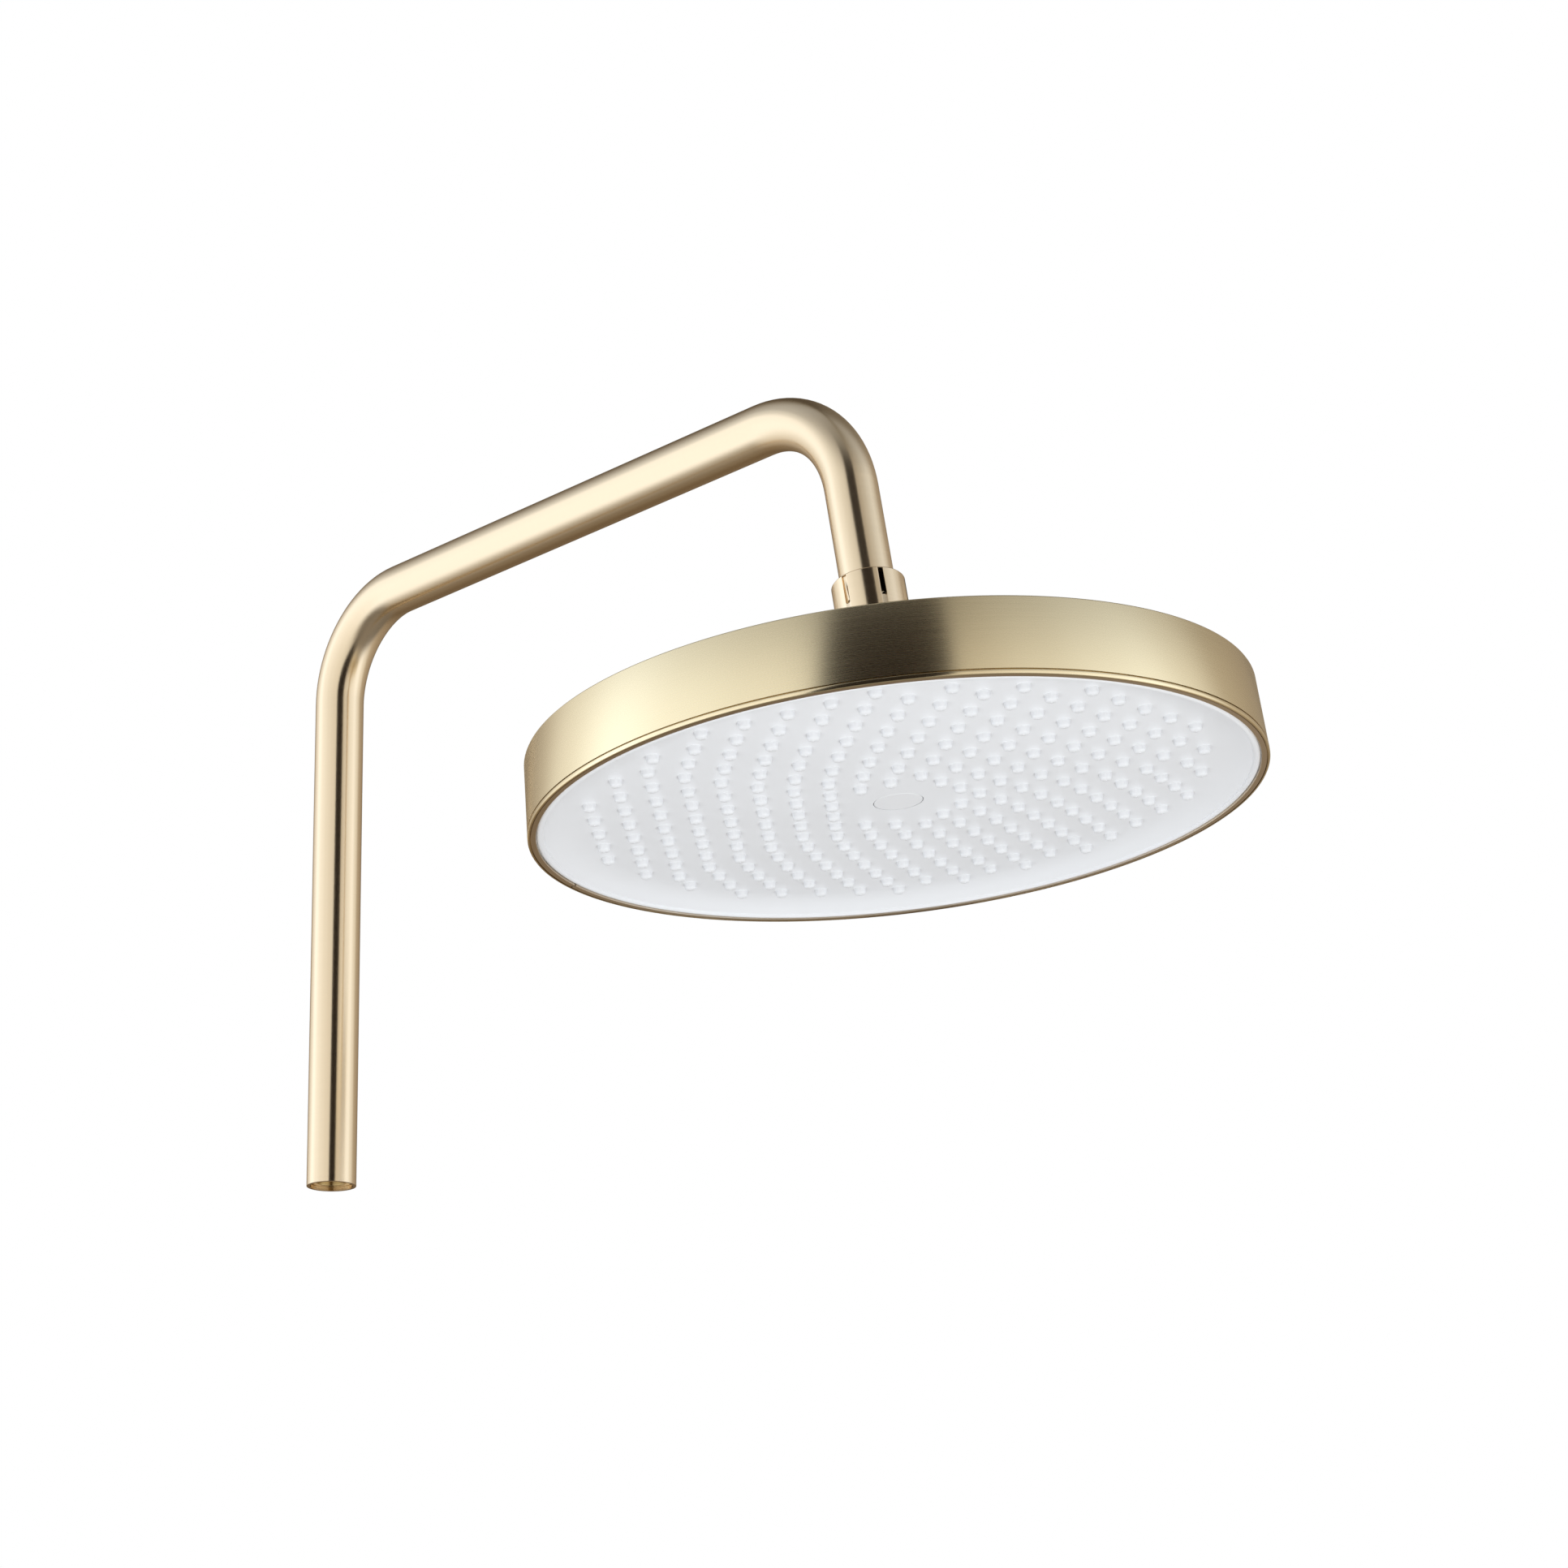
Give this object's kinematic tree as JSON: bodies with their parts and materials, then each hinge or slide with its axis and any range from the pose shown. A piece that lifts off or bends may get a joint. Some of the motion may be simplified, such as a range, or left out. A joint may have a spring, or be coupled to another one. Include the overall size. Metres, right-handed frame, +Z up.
{
  "type": "rainfall shower column",
  "caption": "Bent riser and arm with a slotted union nut and a ball swivel holding a round flat rain head with a nozzle face.",
  "frame": {"origin": "centre of the riser tube's lower end", "axes": "+Z up along the riser, -Y along the arm away from the wall"},
  "size_m": [0.25, 0.4382, 0.2432],
  "materials": {
    "gold_finish": "brushed champagne gold",
    "brass": "machined",
    "rubber": "matte black",
    "steel": "stainless",
    "white_plastic": "satin white",
    "silicone": "matte white silicone",
    "ptfe": "smooth",
    "grey_plastic": "moulded"
  },
  "bodies": {
    "column": {"filter_screen": "steel", "flow_disc": "grey_plastic", "joiner_o_ring_lower": "rubber", "joiner_o_ring_upper": "rubber", "pressure_ring": "brass", "riser_joiner": "brass", "shower_tube": "gold_finish", "swivel_socket": "brass", "tail_piece": "brass", "union_nut": "gold_finish", "union_washer": "rubber"},
    "tilt_seat": {"ball_liner_upper": "ptfe"},
    "sway_seat": {"ball_liner_lower": "ptfe"},
    "rain_head": {"back_plate": "white_plastic", "ball_stem": "brass", "bead_ring": "gold_finish", "boss_ring_nut": "brass", "carrier_plate": "white_plastic", "centre_cap": "white_plastic", "centre_screw": "steel", "chamber_gasket": "rubber", "face_ring": "white_plastic", "head_shell": "gold_finish", "inlet_boss": "gold_finish", "inlet_o_ring": "rubber", "nozzle_mat": "silicone", "plate_screw_1": "steel", "plate_screw_2": "steel", "plate_screw_3": "steel", "plate_screw_4": "steel", "plate_screw_5": "steel", "plate_screw_6": "steel", "plate_screw_7": "steel", "plate_screw_8": "steel", "split_ring": "gold_finish", "stem_locknut": "gold_finish"}
  },
  "joints": [
    {"name": "head_tilt", "type": "hinge", "parent": "column", "child": "tilt_seat", "pos_m": [0, -0.30048, 0.13118], "axis": [1, 0, 0], "range_deg": [-18.2, 5.7]},
    {"name": "head_sway", "type": "hinge", "parent": "tilt_seat", "child": "sway_seat", "pos_m": [0, -0.30048, 0.13118], "axis": [0, 0.9979, -0.0653], "range_deg": [-6.6, 13.3]},
    {"name": "head_spin", "type": "hinge", "parent": "sway_seat", "child": "rain_head", "pos_m": [0, -0.30048, 0.13118], "axis": [-0.0578, 0.0652, 0.9962], "continuous": true}
  ]
}
